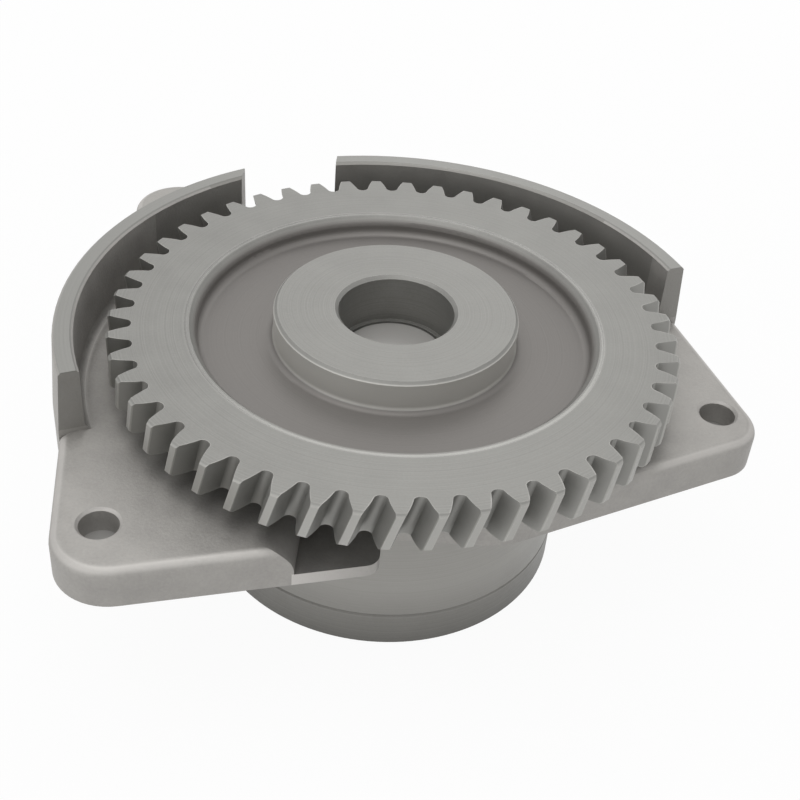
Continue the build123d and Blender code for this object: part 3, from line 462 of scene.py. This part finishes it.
cover_metal, tree, shader = blank_material("Turned cover aluminium")
rings = use_group(tree, turned_rings, Pitch=0.0005)
skin = use_group(tree, cast_skin, Grain=1600.0, Hollows=140.0)
worn = use_group(tree, edge_wear, Width=0.0005, Breakup=260.0)
dirt_and_shade = use_group(tree, grime_and_shade, Reach=0.006, Patches=110.0)
tone = calc(tree, "MULTIPLY_ADD", rings["Tone"], 0.5, calc(tree, "MULTIPLY", skin["Tone"], 0.5))
height = axes(tree, place(tree))["Z"]
darkening = rescale(tree, height, cover_darker_from, cover_darker_full, 0.0, 0.85)
colour = mix_colour(tree, darkening, cover_light, cover_dark)
colour = mix_colour(tree, rescale(tree, tone, 0.36, 0.64, 0.0, 0.3), colour, cover_dark)
# inside corners get oil and painted shade
colour = mix_colour(tree, calc(tree, "MULTIPLY", dirt_and_shade["Mask"], 0.4), colour, grime_and_shade_dark)
colour = mix_colour(tree, calc(tree, "MULTIPLY", worn["Mask"], 0.6), colour, machined_bright)
tree.links.new(colour, shader.inputs["Base Color"])
shader.inputs["Metallic"].default_value = 0.6
tree.links.new(rescale(tree, tone, 0.35, 0.65, 0.38, 0.5), shader.inputs["Roughness"])
grain = calc(tree, "MULTIPLY", skin["Height"], 0.2)
bump(tree, shader, calc(tree, "MULTIPLY_ADD", rings["Height"], 0.6, grain), 0.3, 0.0002)
dress("end_cover", cover_metal)

# ---------------------------------------------------------------------------
# Cover screws and relief plug. Blackened steel with hexagon sockets: the screws
# hold the cover on the housing and the plug closes the relief bore in the cover.
# The finish is rubbed off along their edges.
black_dark = (0.028, 0.028, 0.03, 1.0)
black_light = (0.06, 0.06, 0.064, 1.0)
black_rubbed = (0.3, 0.3, 0.3, 1.0)

blackened, tree, shader = blank_material("Blackened screw steel")
skin = use_group(tree, cast_skin, Grain=2600.0, Hollows=400.0)
worn = use_group(tree, edge_wear, Width=0.0003, Breakup=420.0)
colour = mix_colour(tree, skin["Tone"], black_dark, black_light)
colour = mix_colour(tree, worn["Mask"], colour, black_rubbed)
tree.links.new(colour, shader.inputs["Base Color"])
shader.inputs["Metallic"].default_value = 0.7
tree.links.new(rescale(tree, skin["Tone"], 0.3, 0.7, 0.35, 0.5), shader.inputs["Roughness"])
bump(tree, shader, skin["Height"], 0.15, 0.0001)
for name in ("cover_screws", "relief_plug"):
    dress(name, blackened)

# ---------------------------------------------------------------------------
# Port seals. Two moulded rubber rings in grooves round the cover's ports. They
# stand a little proud and seal against the bottom of the engine's pocket.
rubber_dark = (0.012, 0.012, 0.012, 1.0)
rubber_light = (0.03, 0.03, 0.03, 1.0)

rubber, tree, shader = blank_material("Moulded seal rubber")
skin = use_group(tree, cast_skin, Grain=3500.0, Hollows=600.0)
colour = mix_colour(tree, skin["Tone"], rubber_dark, rubber_light)
tree.links.new(colour, shader.inputs["Base Color"])
tree.links.new(rescale(tree, skin["Tone"], 0.3, 0.7, 0.5, 0.65), shader.inputs["Roughness"])
bump(tree, shader, skin["Height"], 0.2, 0.0001)
for name in ("inlet_seal", "outlet_seal"):
    dress(name, rubber)

# ---------------------------------------------------------------------------
# Studio floor. A pale floor under the end cover. It keeps a soft shadow near
# the pump, turns into the white air farther out, and is clear from below.
floor_level = solids_box[0][2]
shadow_r, white_r, shadow_white = 0.1, 0.9, 0.95


def looked_at(tree):
    ray = tree.nodes.new("ShaderNodeLightPath").outputs
    return calc(tree, "MAXIMUM", ray["Is Camera Ray"],
                calc(tree, "MAXIMUM", ray["Is Glossy Ray"], ray["Is Transmission Ray"]))


bpy.ops.mesh.primitive_plane_add(size=12.0, location=(0.0, 0.0, floor_level))
floor = bpy.context.object
floor.name = "studio_floor"
floor_paint, tree, shader = blank_material("Studio white")
shader.inputs["Base Color"].default_value = (0.9, 0.9, 0.9, 1.0)
shader.inputs["Roughness"].default_value = 0.9
glow = tree.nodes.new("ShaderNodeEmission")
glow.inputs["Color"].default_value = (1.0, 1.0, 1.0, 1.0)
glow.inputs["Strength"].default_value = 1.0
middle = tree.nodes.new("ShaderNodeVectorMath")
middle.operation = "LENGTH"
tree.links.new(place(tree), middle.inputs[0])
plain_white = rescale(tree, middle.outputs["Value"], shadow_r, white_r, shadow_white, 1.0)
shadow_catch = tree.nodes.new("ShaderNodeMixShader")
tree.links.new(product(tree, looked_at(tree), plain_white), shadow_catch.inputs[0])
tree.links.new(shader.outputs[0], shadow_catch.inputs[1])
tree.links.new(glow.outputs[0], shadow_catch.inputs[2])
clear = tree.nodes.new("ShaderNodeBsdfTransparent")
one_sided = tree.nodes.new("ShaderNodeMixShader")
tree.links.new(tree.nodes.new("ShaderNodeNewGeometry").outputs["Backfacing"], one_sided.inputs[0])
tree.links.new(shadow_catch.outputs[0], one_sided.inputs[1])
tree.links.new(clear.outputs[0], one_sided.inputs[2])
tree.links.new(one_sided.outputs[0], tree.nodes["Material Output"].inputs[0])
floor.data.materials.append(floor_paint)

# ---------------------------------------------------------------------------
# Studio air. White wherever it is looked at or mirrored, and half as strong
# where it lights the pump.
sky = bpy.data.worlds.new("Studio air")
sky.use_nodes = True
bpy.context.scene.world = sky
air = sky.node_tree
soft_light = air.nodes["Background"]
soft_light.inputs["Color"].default_value = (1.0, 1.0, 1.0, 1.0)
soft_light.inputs["Strength"].default_value = 0.5
white = air.nodes.new("ShaderNodeBackground")
white.inputs["Color"].default_value = (1.0, 1.0, 1.0, 1.0)
white.inputs["Strength"].default_value = 1.0
choose = air.nodes.new("ShaderNodeMixShader")
air.links.new(looked_at(air), choose.inputs[0])
air.links.new(soft_light.outputs[0], choose.inputs[1])
air.links.new(white.outputs[0], choose.inputs[2])
air.links.new(choose.outputs[0], air.nodes["World Output"].inputs[0])

# ---------------------------------------------------------------------------
# Lamps. Three soft round lamps aimed at the pump: a large one above it, one
# low at the front left, and one high behind it.


def soft_lamp(name, spot, size, power):
    lamp = bpy.data.lights.new(name, "AREA")
    lamp.shape = "DISK"
    lamp.size = size
    lamp.energy = power
    stand = bpy.data.objects.new(name, lamp)
    bpy.context.scene.collection.objects.link(stand)
    stand.location = spot
    stand.rotation_euler = (-Vector(spot)).to_track_quat("-Z", "Y").to_euler()


soft_lamp("key_softbox", (-0.15, -0.1, 0.95), 0.8, 3.0)
soft_lamp("fill_softbox", (-0.62, -0.55, 0.22), 0.6, 0.95)
soft_lamp("back_softbox", (0.05, 0.75, 0.75), 0.5, 0.9)

# ---------------------------------------------------------------------------
# Camera. A 60 mm lens about 0.33 m from the pump, in front of it and 38
# degrees above the flange, tilted a little to one side.
camera_spot = Vector((0.002573, -0.255212, 0.202143))
right = Vector((0.99627, 0.05335, 0.06789))
look = Vector((0.0, 0.78625, -0.6179))
top = right.cross(look)

camera = bpy.data.cameras.new("camera")
camera.sensor_width = 36.0
camera.lens = 60.0
camera.clip_start = 0.01
view = bpy.data.objects.new("camera", camera)
bpy.context.scene.collection.objects.link(view)
turn = Matrix((right, top, -look)).transposed().to_4x4()
view.matrix_world = Matrix.Translation(camera_spot) @ turn
bpy.context.scene.camera = view
bpy.context.scene.view_settings.view_transform = "Standard"
